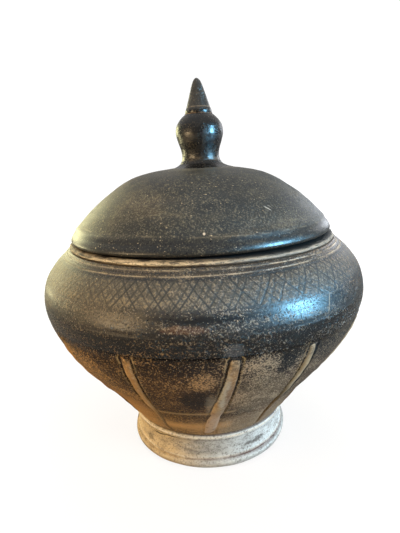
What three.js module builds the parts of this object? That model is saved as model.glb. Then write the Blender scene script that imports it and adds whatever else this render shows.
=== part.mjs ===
// A lidded jar of black-fired clay, built by hand from luted pieces: a squat bowl and shoulder on a
// pale foot ring, thin strips of clay laid down the bowl, a low neck collar, and a domed lid that
// lifts off by its pointed knob.
// Millimetres, +Z up. The origin is the middle of the ring that the foot stands on, and -Y is the front.

import * as THREE from "three";

// Driving dimensions
const WALL = 6.5; // thickness of the bowl, the shoulder and the lid
const SEAM = 0.3; // clearance left where two clay pieces are luted together
const FOOT_RADIUS = 54; // at the resting lip
const FOOT_BORE_RADIUS = 45.5;
const FOOT_HEIGHT = 24;
const FOOT_RECESS = 16; // from the resting lip up to the underside of the bowl
const FLOOR_THICKNESS = 10;
const BELLY_RADIUS = 100.1;
const BELLY_HEIGHT = 106; // of the widest part
const BELLY_SEAM_HEIGHT = 98.5; // where the bowl and the shoulder were joined
const SHOULDER_TOP = 135.7;
const NECK_RADIUS = 82.5;
const NECK_HEIGHT = 2.5;
const MOUTH_RADIUS = 70.5;
const LID_SEAT_HEIGHT = 139.5; // underside of the lid's rim, at its middle
const LID_RADIUS = 80.8;
const LID_RISE = 40.4; // from the underside of the lid's rim to its crown
const LID_TILT = THREE.MathUtils.degToRad(0.45); // the lid sits a little high at its +X side
const FLANGE_RADIUS = 68;
const FLANGE_THICKNESS = 6;
const FLANGE_DEPTH = 11; // below the underside of the lid's rim
const KNOB_OFFSET = 2.8; // the knob was set this far off the lid's centre, towards +X
const BULB_RADIUS = 14.6;
const BULB_HEIGHT = 31;
const TIP_RADIUS = 8.1;
const TIP_HEIGHT = 19.7;

const SCORED_LINES = [133, 134.6]; // heights of the lines scored round the shoulder
const SCORE_DEPTH = 0.7;
const SCORE_WIDTH = 0.9;

const RIB_COUNT = 13;
const RIB_TOP = 97.5;
const RIB_FOOT = 26.5;
const RIB_RISE = 1.9; // how far a rib stands off the bowl at its crest
const RIB_WIDTH = 5; // at its top
const RIB_FOOT_WIDTH = 3;
const RIB_LEAN = -4;
// The ribs were laid by eye. A bearing is an angle in degrees from the front towards +X, and lean is how
// far the rib's foot strays from it. The three at the front are uneven, and the middle one spreads.
const FRONT_RIBS = [
  { bearing: -22.3, lean: -5.3, footWidth: RIB_FOOT_WIDTH },
  { bearing: 7.3, lean: -8.6, footWidth: 7.5 },
  { bearing: 31.1, lean: 0, footWidth: RIB_FOOT_WIDTH },
];

const SEGMENTS = 44; // facets round a large piece
const SMALL_SEGMENTS = 24; // facets round the knob

// Fired clay: smoked black, brown low on the bowl, and pale where the smoke didn't reach.
const BURNISHED_BLACK = 0x35332e;
const SMOKED_BROWN = 0x4a3b2c;
const HATCHED_GREY = 0x463f35;
const WORN_TAN = 0x9c8467;
const PALE_CLAY = 0xb4ab9a;

// Outlines are lists of Vector2, with x the radius and y the height.
const outline = (...pairs) => pairs.map(([radius, height]) => new THREE.Vector2(radius, height));
const smooth = (points, divisions) => new THREE.SplineCurve(points).getPoints(divisions);

// The place on an outline where one of its coordinates, "x" or "y", has a value.
function placeAt(points, key, value) {
  const next = points.findIndex((p, i) => i > 0 && (p[key] - value) * (points[i - 1][key] - value) <= 0);
  const [start, end] = [points[next - 1], points[next]];
  return start.clone().lerp(end, (value - start[key]) / (end[key] - start[key]));
}

// The stretch of a rising outline between two heights, without points that crowd its ends.
function between(points, low, high) {
  const inner = points.filter((p) => p.y > low + 0.5 && p.y < high - 0.5);
  return [placeAt(points, "y", low), ...inner, placeAt(points, "y", high)];
}

// An outline moved by a distance to the left of its own direction, which is inwards on a rising one.
function inset(points, distance) {
  return points.map((point, i) => {
    const before = points[Math.max(i - 1, 0)];
    const after = points[Math.min(i + 1, points.length - 1)];
    const along = after.clone().sub(before).normalize();
    return new THREE.Vector2(point.x - along.y * distance, point.y + along.x * distance);
  });
}

// A solid turned round +Z from an outline that goes up the outside and down the inside. An outline
// that starts on the axis also ends on it, and any other is closed back to its start.
function turned(points, segments = SEGMENTS) {
  const profile = points[0].x === 0 ? points : [...points, points[0].clone()];
  return new THREE.LatheGeometry(profile, segments).rotateX(Math.PI / 2);
}

function piece(name, geometry, color, roughness) {
  const mesh = new THREE.Mesh(geometry, new THREE.MeshStandardMaterial({ color, roughness, metalness: 0 }));
  mesh.name = name;
  return mesh;
}

// The outside of the body from the foot ring to the neck, and the inside, one wall in from it.
const bodyOutside = smooth(
  outline(
    [52.6, FOOT_HEIGHT], [57.9, 32], [67.2, 46], [78.1, 60], [88.9, 76], [97, 92],
    [BELLY_RADIUS, BELLY_HEIGHT],
    [97.9, 118], [92.1, 127], [85.9, 133], [81.5, SHOULDER_TOP + 1],
  ),
  20,
);
const bodyInside = inset(bodyOutside, WALL);

// The dome of the lid, with the underside of its rim at height 0, and the inside of the dome.
const domeOutside = smooth(
  outline(
    [LID_RADIUS - 1.5, 0], [LID_RADIUS, 2.3], [76.9, 8.5], [68.1, 17.6], [58, 25.7], [44, 34.2], [30, 38.3],
    [15, LID_RISE - 0.3], [0, LID_RISE],
  ),
  16,
);
const domeInside = inset(domeOutside, WALL).filter((p) => p.y > 0.5 && p.x > WALL);

function footRing() {
  const lip = outline([FOOT_RADIUS - 1.5, 0], [FOOT_RADIUS, 1.8], [FOOT_RADIUS - 0.8, 3.7]);
  const groove = outline([FOOT_RADIUS - 2.8, 4.5], [FOOT_RADIUS - 1.9, 5.7]);
  const waist = outline([FOOT_RADIUS - 2.6, 10], [FOOT_RADIUS - 2.3, 17.5]);
  const bead = outline([FOOT_RADIUS - 0.8, 20.2], [FOOT_RADIUS - 0.6, 21.8]);
  const shelf = outline([FOOT_RADIUS - 2, FOOT_HEIGHT - 0.7]);
  const bore = outline([FOOT_BORE_RADIUS, FOOT_RECESS + 2.6], [FOOT_BORE_RADIUS, 0]);
  return turned([...lip, ...groove, ...waist, ...bead, ...shelf, ...bore]);
}

function lowerBowl() {
  const floorHeight = FOOT_RECESS + FLOOR_THICKNESS;
  const underside = outline([0, FOOT_RECESS], [FOOT_BORE_RADIUS - 1, FOOT_RECESS + 2.8]);
  const outside = between(bodyOutside, FOOT_HEIGHT + SEAM, BELLY_SEAM_HEIGHT);
  const inside = between(bodyInside, floorHeight + 5, BELLY_SEAM_HEIGHT).reverse();
  const floor = outline([36, floorHeight + 1.2], [0, floorHeight]);
  return turned([...underside, ...outside, ...inside, ...floor]);
}

// One V-shaped line scored round the body at a height.
function scoredLine(height) {
  const lower = placeAt(bodyOutside, "y", height - SCORE_WIDTH / 2);
  const upper = placeAt(bodyOutside, "y", height + SCORE_WIDTH / 2);
  const [bottom] = inset([placeAt(bodyOutside, "y", height), upper], SCORE_DEPTH);
  return [lower, bottom, upper];
}

// The upper half of the belly, turned in to the mouth.
function shoulder() {
  const belowLines = between(bodyOutside, BELLY_SEAM_HEIGHT + SEAM, SCORED_LINES[0] - SCORE_WIDTH);
  const top = outline([NECK_RADIUS + 0.2, SHOULDER_TOP]);
  const mouth = outline([MOUTH_RADIUS, SHOULDER_TOP], [MOUTH_RADIUS, SHOULDER_TOP - 5]);
  const inside = between(bodyInside, BELLY_SEAM_HEIGHT + SEAM, SHOULDER_TOP - 2 * WALL).reverse();
  return turned([...belowLines, ...SCORED_LINES.flatMap(scoredLine), ...top, ...mouth, ...inside]);
}

// The low rounded ring that the lid sits on.
function neckCollar() {
  const base = SHOULDER_TOP + SEAM;
  const top = base + NECK_HEIGHT;
  const outside = outline([NECK_RADIUS - 0.6, base], [NECK_RADIUS, base + 1], [NECK_RADIUS - 1.2, top]);
  const mouth = outline([MOUTH_RADIUS + 1, top], [MOUTH_RADIUS, top - 1], [MOUTH_RADIUS, base]);
  return turned([...outside, ...mouth]);
}

// A strip laid down the outside of the bowl: a block whose width is bent round the bowl, whose height
// follows the bowl's outline, and whose outer face is crowned and dies away at both ends.
function rib({ bearing, lean, footWidth }) {
  const geometry = new THREE.BoxGeometry(1, 1, 1, 4, 8, 1);
  const points = geometry.attributes.position;
  for (let i = 0; i < points.count; i += 1) {
    const across = 2 * points.getX(i);
    const down = 0.5 - points.getY(i);
    const outwards = 0.5 + points.getZ(i);
    const height = THREE.MathUtils.lerp(RIB_TOP, RIB_FOOT, down);
    const onBowl = placeAt(bodyOutside, "y", height);
    const above = placeAt(bodyOutside, "y", height + 1);
    const crown = (1 - 0.5 * across ** 2) * (1 - 0.6 * (2 * down - 1) ** 4);
    const [face] = inset([onBowl, above], -1.3 * SEAM - outwards * RIB_RISE * crown);
    const width = THREE.MathUtils.lerp(RIB_WIDTH, footWidth, down);
    const strayed = bearing + lean * down ** 1.5 - 90;
    const angle = THREE.MathUtils.degToRad(strayed) + (across * width) / 2 / onBowl.x;
    points.setXYZ(i, face.x * Math.cos(angle), face.x * Math.sin(angle), face.y);
  }
  geometry.computeVertexNormals();
  return geometry;
}

// The front ribs, then the rest shared out over the way round from the last of them to the first.
function allRibs() {
  const first = FRONT_RIBS[0].bearing;
  const last = FRONT_RIBS.at(-1).bearing;
  const restCount = RIB_COUNT - FRONT_RIBS.length;
  const pitch = (360 + first - last) / (restCount + 1);
  const rest = Array.from({ length: restCount }, (_, i) => ({
    bearing: last + pitch * (i + 1),
    lean: RIB_LEAN * (1 + Math.sin(2.4 * i)),
    footWidth: RIB_FOOT_WIDTH,
  }));
  return [...FRONT_RIBS, ...rest];
}

function lidDome() {
  const crown = outline([0, LID_RISE - WALL]);
  const inside = [...domeInside].reverse();
  const seat = outline([domeInside[0].x, 0]);
  return turned([...crown, ...inside, ...seat, ...domeOutside]);
}

// The ring under the lid that keeps it from sliding off the neck.
function lidFlange() {
  const boreRadius = FLANGE_RADIUS - FLANGE_THICKNESS;
  const topAt = (radius) => new THREE.Vector2(radius, placeAt(domeInside, "x", radius).y - 2 * SEAM);
  const outside = outline([FLANGE_RADIUS - 0.8, -FLANGE_DEPTH], [FLANGE_RADIUS, 1 - FLANGE_DEPTH]);
  const inside = outline([boreRadius, 1 - FLANGE_DEPTH], [boreRadius + 0.8, -FLANGE_DEPTH]);
  return turned([...outside, topAt(FLANGE_RADIUS), topAt(boreRadius), ...inside]);
}

// The knob's stem flares out on the crown of the lid and swells into a bulb above it.
function knobBulb() {
  const root = outline([0, 0], [16, 0]);
  const stem = smooth(
    outline(
      [15.6, 0.8], [12.4, 2.9], [11.4, 6.5], [13, 12], [BULB_RADIUS, 18.5], [13.6, 23.8], [11.3, 27.4],
      [TIP_RADIUS + 0.5, BULB_HEIGHT],
    ),
    12,
  );
  return turned([...root, ...stem, ...outline([0, BULB_HEIGHT])], SMALL_SEGMENTS);
}

function knobTip() {
  const side = outline([TIP_RADIUS, 0], [6.9, 4], [5, 9.7], [3, 15.2], [1.5, 18.6], [0, TIP_HEIGHT]);
  const cone = smooth(side, 8);
  return turned([...outline([0, 0]), ...cone], SMALL_SEGMENTS);
}

const pot = new THREE.Group();
pot.add(
  piece("foot_ring", footRing(), PALE_CLAY, 0.9),
  piece("lower_bowl", lowerBowl(), SMOKED_BROWN, 0.7),
  piece("shoulder", shoulder(), HATCHED_GREY, 0.5),
  piece("neck_collar", neckCollar(), WORN_TAN, 0.75),
);
allRibs().forEach((each, i) => {
  const name = `rib_${String(i + 1).padStart(2, "0")}`;
  pot.add(piece(name, rib(each), WORN_TAN, 0.8));
});

const knobTop = piece("knob_tip", knobTip(), BURNISHED_BLACK, 0.4);
knobTop.position.z = BULB_HEIGHT + SEAM;
const knob = new THREE.Group();
knob.position.set(KNOB_OFFSET, 0, LID_RISE + SEAM);
knob.add(piece("knob_bulb", knobBulb(), BURNISHED_BLACK, 0.4), knobTop);

const lid = new THREE.Group();
lid.position.z = LID_SEAT_HEIGHT;
lid.rotation.y = -LID_TILT;
lid.add(
  piece("lid_dome", lidDome(), BURNISHED_BLACK, 0.45),
  piece("lid_flange", lidFlange(), BURNISHED_BLACK, 0.8),
  knob,
);

const jar = new THREE.Group();
jar.add(pot, lid);
export default jar;
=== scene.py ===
"""A lidded jar of black-fired clay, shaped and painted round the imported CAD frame.

Shapes are worked out in millimetres and become metres when they are made into a mesh. A place on the
jar is given by its bearing, an angle round +Z from the front (-Y) towards +X, and its height.
"""
import math

import bpy
import numpy as np
from mathutils import Matrix, Vector


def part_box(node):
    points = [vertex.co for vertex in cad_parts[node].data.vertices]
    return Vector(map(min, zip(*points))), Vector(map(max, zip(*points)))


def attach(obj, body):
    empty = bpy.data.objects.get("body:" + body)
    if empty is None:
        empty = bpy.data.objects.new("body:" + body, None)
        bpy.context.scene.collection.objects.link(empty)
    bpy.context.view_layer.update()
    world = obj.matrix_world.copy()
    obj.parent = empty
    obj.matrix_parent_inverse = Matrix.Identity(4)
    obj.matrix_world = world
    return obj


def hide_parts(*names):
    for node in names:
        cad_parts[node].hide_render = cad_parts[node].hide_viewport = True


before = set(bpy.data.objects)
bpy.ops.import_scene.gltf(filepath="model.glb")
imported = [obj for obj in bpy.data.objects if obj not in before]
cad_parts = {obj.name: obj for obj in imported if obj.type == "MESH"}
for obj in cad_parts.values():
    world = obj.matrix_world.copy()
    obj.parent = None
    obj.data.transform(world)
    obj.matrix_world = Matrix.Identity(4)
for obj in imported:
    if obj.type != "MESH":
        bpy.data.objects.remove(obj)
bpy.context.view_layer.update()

MM = 0.001
TURN = 2 * math.pi


# --- Sizes ------------------------------------------------------------------------------------------

def low(node):
    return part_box(node)[0] / MM


def high(node):
    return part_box(node)[1] / MM


FOOT_RADIUS = high("foot_ring").x
FOOT_TOP = high("foot_ring").z + 0.4
FOOT_BORE = 45.5
BOWL_UNDERSIDE = low("lower_bowl").z
BOWL_FLOOR = BOWL_UNDERSIDE + 10
BELLY_SEAM = high("lower_bowl").z + 0.15
BELLY_RADIUS = high("shoulder").x
SHOULDER_TOP = high("shoulder").z
NECK_RADIUS = high("neck_collar").x
NECK_TOP = high("neck_collar").z
MOUTH_RADIUS = 70.5
WALL = 6.5

LID_TILT = math.radians(0.45)
LID_RIM_RADIUS = high("lid_dome").x
LID_SEAT = low("lid_dome").z + (LID_RIM_RADIUS - 1.5) * math.sin(LID_TILT)
LID_RISE = 40.4
FLANGE_RADIUS = 68
FLANGE_DEPTH = 11
KNOB_OFFSET = 2.8
BULB_HEIGHT = 31
TIP_HEIGHT = 19.7

# The band of crossed scratches round the shoulder, and the wheel-turned lines on the body, each with
# its height, half width and depth, and how far it drifts up and down on its way round.
HATCH_LOW = 120.4
HATCH_HIGH = 131.4
HATCH_RADIUS = 95
PALE_LINES = [(132.6, 0.5, 0.35, 0.15), (134.5, 0.45, 0.35, 0.2), (118.2, 0.5, 0.03, 0.3)]
DARK_LINES = [
    (133.6, 0.6, 0.25, 0.15), (131.6, 1.0, 0.2, 0.2), (119.7, 0.8, 0.06, 0.3), (114.8, 0.9, 0.08, 0.9),
    (110.0, 0.9, 0.16, 0.6), (105.6, 0.9, 0.18, 0.5), (102.6, 0.6, 0.12, 0.7), (99.3, 0.7, 0.16, 0.25),
]


# --- Arithmetic that works on numbers, on arrays and on shader sockets ------------------------------

class Socket:
    """A number in a material: arithmetic on it adds Math nodes."""

    def __init__(self, tree, output):
        self.tree = tree
        self.output = output

    def math(self, operation, *others):
        node = self.tree.nodes.new("ShaderNodeMath")
        node.operation = operation
        for slot, value in zip(node.inputs, (self, *others)):
            connect(self.tree, slot, value)
        return Socket(self.tree, node.outputs[0])

    def __add__(self, other):
        return self.math("ADD", other)

    __radd__ = __add__

    def __mul__(self, other):
        return self.math("MULTIPLY", other)

    __rmul__ = __mul__

    def __sub__(self, other):
        return self.math("SUBTRACT", other)

    def __rsub__(self, other):
        return self * -1 + other

    def __truediv__(self, other):
        return self.math("DIVIDE", other)


def connect(tree, slot, value):
    """Sets a node's input to a number or colour, or links a Socket to it."""
    if isinstance(value, Socket):
        tree.links.new(value.output, slot)
    else:
        slot.default_value = value


def sin(x):
    return x.math("SINE") if isinstance(x, Socket) else np.sin(x)


def floor(x):
    return x.math("FLOOR") if isinstance(x, Socket) else np.floor(x)


def fract(x):
    return x - floor(x)


def absolute(x):
    return x.math("ABSOLUTE") if isinstance(x, Socket) else np.abs(x)


def larger(a, b):
    if isinstance(a, Socket):
        return a.math("MAXIMUM", b)
    return b.math("MAXIMUM", a) if isinstance(b, Socket) else np.maximum(a, b)


def smoothstep(start, end, x):
    """0 before start, 1 after end, and a smooth rise between; end may be below start."""
    if isinstance(x, Socket):
        node = x.tree.nodes.new("ShaderNodeMapRange")
        node.interpolation_type = "SMOOTHSTEP"
        connect(x.tree, node.inputs["Value"], x)
        for name, value in (("From Min", start), ("From Max", end)):
            connect(x.tree, node.inputs[name], value)
        return Socket(x.tree, node.outputs["Result"])
    t = np.clip((x - start) / (end - start), 0, 1)
    return t * t * (3 - 2 * t)


def plateau(a, b, c, d, x):
    """0 before a, 1 from b to c, 0 after d, and smooth slopes between."""
    return smoothstep(a, b, x) * smoothstep(d, c, x)


def line(distance, half_width):
    """1 on a line, falling to 0 at half_width from it."""
    return 1 - smoothstep(0, half_width, absolute(distance))


# --- The potter's marks, shared by the meshes and the materials -------------------------------------

def ring_line(bearing, height, mark):
    """A line turned round the body. It wanders a little, as the jar was never quite true on the wheel."""
    at, half_width, _, drift = mark
    wander = drift * sin(bearing + at * 1.7) + 0.3 * drift * sin(3 * bearing + at)
    return line(height - at - wander, half_width)


def strokes(bearing, height, count, slant, seed):
    """One way of the cross-hatching: count strokes round the jar, each placed and pressed by hand."""
    middle = (HATCH_LOW + HATCH_HIGH) / 2
    run = bearing * (count / TURN) + slant * (height - middle) + 0.35 * sin(5 * bearing + seed)
    index = floor(run)
    index = index - count * floor(index / count)
    placing = fract(index * 0.618 + seed)
    pressing = fract(index * 0.387 + seed * 2)
    centre = 0.5 + 0.34 * (placing - 0.5) + (pressing - 0.5) * 0.05 * (height - middle)
    pitch = TURN * HATCH_RADIUS / count
    return smoothstep(0.85, 0.25, absolute((fract(run) - centre) * pitch)) * (0.45 + 0.55 * pressing)


def hatching(bearing, height):
    crossed = larger(
        strokes(bearing, height, 146, -0.19, 0.13),
        strokes(bearing, height, 134, 0.25, 0.71),
    )
    crossed = crossed * (1 - 0.6 * smoothstep(0.5, 0.1, absolute(bearing + 0.85)))
    return crossed * plateau(HATCH_LOW - 0.6, HATCH_LOW + 0.4, HATCH_HIGH - 0.4, HATCH_HIGH + 0.5, height)


def waves(seed, bearing, height, turns, pitch, count=10):
    """Smooth noise of about -1 to 1, with up to turns cycles round the jar and waves pitch mm high."""
    rng = np.random.default_rng(seed)
    total = 0
    for _ in range(count):
        around = rng.integers(0, turns + 1)
        upward = rng.normal() * TURN / pitch
        total = total + np.cos(around * bearing + upward * height + rng.uniform(0, TURN))
    return total * math.sqrt(2 / count) * 0.6


def body_relief(bearing, height):
    push = 0.22 * waves(11, bearing, height, 3, 90)
    push = push + 0.07 * waves(12, bearing, height, 9, 14)
    push = push + 0.015 * waves(13, bearing, height, 2, 2.2, 16)
    for mark in PALE_LINES + DARK_LINES:
        push = push - mark[2] * ring_line(bearing, height, mark)
    return push - 0.12 * hatching(bearing, height)


# --- Outlines and meshes ----------------------------------------------------------------------------

SHARP_ANGLE = math.radians(50)


def smooth(points, step):
    """A curve through given points, as an array with a point every step mm."""
    p = np.array(points, float)
    p = np.vstack([p[0], p, p[-1]])
    t = np.linspace(0, 1, 40, endpoint=False)[:, None]
    pieces = []
    for a, b, c, d in zip(p, p[1:], p[2:], p[3:]):
        m, n = (c - a) / 2, (d - b) / 2
        pieces.append((2 * b - 2 * c + m + n) * t**3 + (3 * c - 3 * b - 2 * m - n) * t**2 + m * t + b)
    dense = np.vstack([*pieces, p[-1]])
    walked = np.r_[0, np.cumsum(np.hypot(*np.diff(dense, axis=0).T))]
    stops = np.linspace(0, walked[-1], max(2, math.ceil(walked[-1] / step) + 1))
    return np.column_stack([np.interp(stops, walked, column) for column in dense.T])


def outline(*stretches):
    """Joins stretches of (points, step, worked) into rows of radius, height and the relief's share."""
    rows = []
    for points, step, worked in stretches:
        sampled = smooth(points, step)
        part = np.column_stack([sampled, np.full(len(sampled), float(worked))])
        if rows and np.allclose(rows[-1][-1, :2], part[0, :2]):
            part = part[1:]
        rows.append(part)
    joined = np.vstack(rows)
    return joined[:-1] if np.allclose(joined[0, :2], joined[-1, :2]) else joined


def outward(rows, closed):
    """The unit normals of an outline that goes up the outside."""
    r, z = rows[:, 0], rows[:, 1]
    if closed:
        dr, dz = np.roll(r, -1) - np.roll(r, 1), np.roll(z, -1) - np.roll(z, 1)
    else:
        dr, dz = np.gradient(r), np.gradient(z)
    size = np.maximum(np.hypot(dr, dz), 1e-9)
    return dz / size, -dr / size


def new_piece(name, shape, body, stands_for, material, attributes=None):
    """Makes an object of a shape, which is its points in mm, its quads and its triangles."""
    points, quads, triangles = shape
    corners = np.concatenate([np.ravel(quads), np.ravel(triangles)]).astype(np.int32)
    starts = np.concatenate([np.arange(len(quads)) * 4, len(quads) * 4 + np.arange(len(triangles)) * 3])
    mesh = bpy.data.meshes.new(name)
    mesh.vertices.add(len(points))
    mesh.vertices.foreach_set("co", np.ravel(points * MM).astype(np.float32))
    mesh.loops.add(len(corners))
    mesh.loops.foreach_set("vertex_index", corners)
    mesh.polygons.add(len(starts))
    mesh.polygons.foreach_set("loop_start", starts.astype(np.int32))
    mesh.update(calc_edges=True)
    mesh.validate()
    for key, values in (attributes or {}).items():
        layer = mesh.attributes.new(key, "FLOAT", "POINT")
        layer.data.foreach_set("value", np.asarray(values, np.float32))
    mesh.polygons.foreach_set("use_smooth", np.ones(len(mesh.polygons), bool))
    mesh.set_sharp_from_angle(angle=SHARP_ANGLE)
    mesh.materials.append(material)
    piece = bpy.data.objects.new(name, mesh)
    bpy.context.scene.collection.objects.link(piece)
    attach(piece, body)
    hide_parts(stands_for)
    return piece


def turned(rows, segments, relief):
    """The shape of a solid turned round +Z, and how far the relief shows at each of its points.

    An outline that starts and ends on the axis gets a point there; any other closes on itself.
    """
    closed = rows[0, 0] > 1e-6
    nr, nz = outward(rows, closed)
    rings = slice(None) if closed else slice(1, -1)
    bearing = np.arange(segments) * TURN / segments
    r, z, worked = (rows[rings, k][:, None] for k in range(3))
    push = worked * relief(bearing[None, :], z)
    radius = r + nr[rings, None] * push
    height = z + nz[rings, None] * push
    points = [radius * np.sin(bearing), -radius * np.cos(bearing), height]
    points = np.stack(points, axis=-1).reshape(-1, 3)
    shown = np.repeat(worked[:, 0], segments)
    number = np.arange(len(points)).reshape(-1, segments)
    below, above = (number, np.roll(number, -1, axis=0)) if closed else (number[:-1], number[1:])
    quads = np.stack([below, np.roll(below, -1, 1), np.roll(above, -1, 1), above], axis=-1).reshape(-1, 4)
    if closed:
        return (points, quads, np.empty((0, 3), int)), shown
    first, last = len(points), len(points) + 1
    points = np.vstack([points, [0, 0, rows[0, 1]], [0, 0, rows[-1, 1]]])
    start, end = number[0], number[-1]
    triangles = np.vstack([
        np.column_stack([np.full(segments, first), np.roll(start, -1), start]),
        np.column_stack([np.full(segments, last), end, np.roll(end, -1)]),
    ])
    return (points, quads, triangles), np.append(shown, [rows[0, 2], rows[-1, 2]])


BODY_OUTSIDE = [
    (52.6, 24), (57.9, 32), (67.2, 46), (78.1, 60), (88.9, 76), (97, 92), (BELLY_RADIUS, 106),
    (97.9, 118), (92.1, 127), (85.9, 133), (81.5, SHOULDER_TOP + 1),
]
BODY_CURVE = smooth(BODY_OUTSIDE, 0.25)


def body_stretch(bottom, top, wall=0.0):
    """The body's outline between two heights, set in by a thickness of wall."""
    nr, nz = outward(BODY_CURVE, closed=False)
    curve = BODY_CURVE - wall * np.column_stack([nr, nz])
    heights = curve[:, 1]
    inner = curve[(heights > bottom) & (heights < top)]
    ends = [[np.interp(h, heights, curve[:, 0]), h] for h in (bottom, top)]
    return np.vstack([ends[0], inner[::8], ends[1]])


def body_radius(height):
    return np.interp(height, BODY_CURVE[:, 1], BODY_CURVE[:, 0])


# --- Ribs -------------------------------------------------------------------------------------------

RIB_NODES = sorted(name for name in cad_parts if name.startswith("rib_"))
FAR_FROM_RIBS = 99.0


class RibPath:
    """The run of one rib down the bowl, read from its CAD solid."""

    def __init__(self, node):
        co = np.array([v.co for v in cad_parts[node].data.vertices]) / MM
        bearing = np.arctan2(co[:, 0], -co[:, 1])
        middle = math.atan2(np.sin(bearing).mean(), np.cos(bearing).mean())
        bearing = middle + (bearing - middle + math.pi) % TURN - math.pi
        height = co[:, 2]
        self.low, self.high = height.min(), height.max()
        self.bearing_fit = np.polyfit(height, bearing, 3)
        aside = np.abs(bearing - np.polyval(self.bearing_fit, height)) * np.hypot(co[:, 0], co[:, 1])
        edge = aside > 0.75 * aside.max()
        self.width_fit = np.polyfit(height[edge], aside[edge], 1)

    def bearing(self, height):
        return np.polyval(self.bearing_fit, height)

    def half_width(self, height):
        return np.polyval(self.width_fit, height)


RIB_PATHS = {node: RibPath(node) for node in RIB_NODES}


def distance_to_ribs(bearing, height):
    """How far each place on the bowl is outside the edge of the nearest rib, in mm: negative under a rib.

    Also gives the side of that rib that it is on: 1 to the right and -1 to the left.
    """
    nearest = np.full(np.broadcast(bearing, height).shape, FAR_FROM_RIBS)
    side = np.zeros(nearest.shape)
    for path in RIB_PATHS.values():
        off = (bearing - path.bearing(height) + math.pi) % TURN - math.pi
        beside = np.abs(off) * body_radius(height) - path.half_width(height)
        beyond = np.maximum(np.maximum(path.low - height, height - path.high), 0)
        away = np.maximum(beside, 0) + beyond + np.minimum(beside, 0)
        side = np.where(away < nearest, np.sign(off), side)
        nearest = np.minimum(nearest, away)
    return nearest, side


def bowl_relief(bearing, height):
    """The body's marks, with the tool's groove and raised burr down both sides of each rib."""
    push = body_relief(bearing, height)
    ragged = 0.35 * waves(21, bearing, height, 160, 5, 24)
    away = distance_to_ribs(bearing, height)[0] + ragged
    press = 0.2 + 0.8 * smoothstep(44, 66, height)
    push = push - 0.6 * press * line(away - 0.35, 0.75)
    return push + 0.25 * press * line(away - 1.7, 0.7)


# --- Materials --------------------------------------------------------------------------------------

def srgb(r, g, b):
    """A colour given as on a screen, 0 to 255, in the linear values that a shader takes."""
    def linear(c):
        c /= 255
        return c / 12.92 if c <= 0.04045 else ((c + 0.055) / 1.055) ** 2.4
    return (linear(r), linear(g), linear(b), 1.0)


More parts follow.
